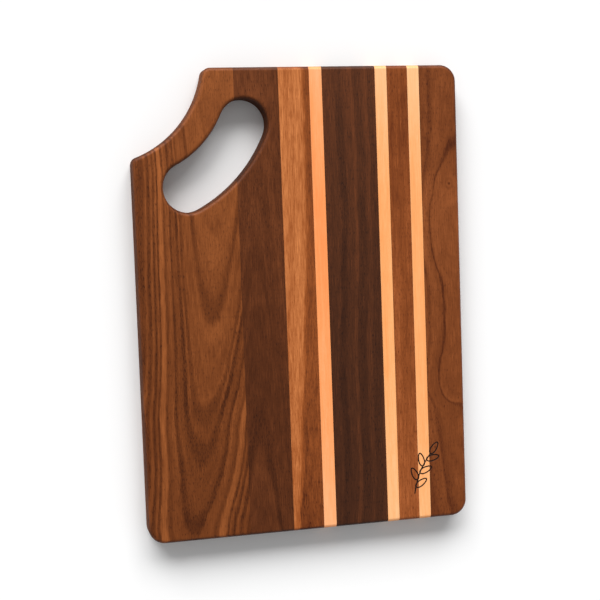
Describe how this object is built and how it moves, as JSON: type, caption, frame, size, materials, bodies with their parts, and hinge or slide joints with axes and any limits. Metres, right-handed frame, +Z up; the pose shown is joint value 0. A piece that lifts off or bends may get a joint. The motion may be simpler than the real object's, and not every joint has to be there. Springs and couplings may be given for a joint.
{
  "type": "cutting board",
  "caption": "Edge-glued striped walnut and maple cutting board with a scooped corner, a curved hand hole beside it and rounded edges.",
  "frame": {"origin": "centre of the underside", "axes": "+X across the sticks from the wide walnut stick to the brown one, +Y along the grain towards the handle end, +Z up out of the cutting face"},
  "size_m": [0.254, 0.3556, 0.019],
  "materials": {
    "walnut_wide": "oiled walnut, satin, with open pores and visible growth-ring figure",
    "walnut_chocolate": "oiled walnut, satin, with open pores and visible growth-ring figure",
    "walnut_light": "oiled walnut, satin, with open pores and visible growth-ring figure",
    "maple_warm": "oiled hard maple, satin, fine even grain",
    "walnut_black": "oiled walnut, satin, with open pores and visible growth-ring figure",
    "maple_pale": "oiled hard maple, satin, fine even grain",
    "walnut_red": "oiled walnut, satin, with open pores and visible growth-ring figure",
    "walnut_brown": "oiled walnut, satin, with open pores and visible growth-ring figure",
    "wood_glue": "cured wood glue, a thin translucent amber line"
  },
  "bodies": {
    "root": {"stick_1_wide_walnut": "walnut_wide", "stick_2_chocolate_walnut": "walnut_chocolate", "stick_3_light_walnut": "walnut_light", "stick_4_warm_maple": "maple_warm", "stick_5_black_walnut": "walnut_black", "stick_6_pale_maple": "maple_pale", "stick_7_red_walnut": "walnut_red", "stick_8_pale_maple": "maple_pale", "stick_9_brown_walnut": "walnut_brown", "glue_film_1_front": "wood_glue", "glue_film_1_handle": "wood_glue", "glue_film_2": "wood_glue", "glue_film_3": "wood_glue", "glue_film_4": "wood_glue", "glue_film_5": "wood_glue", "glue_film_6": "wood_glue", "glue_film_7": "wood_glue", "glue_film_8": "wood_glue"}
  },
  "joints": []
}
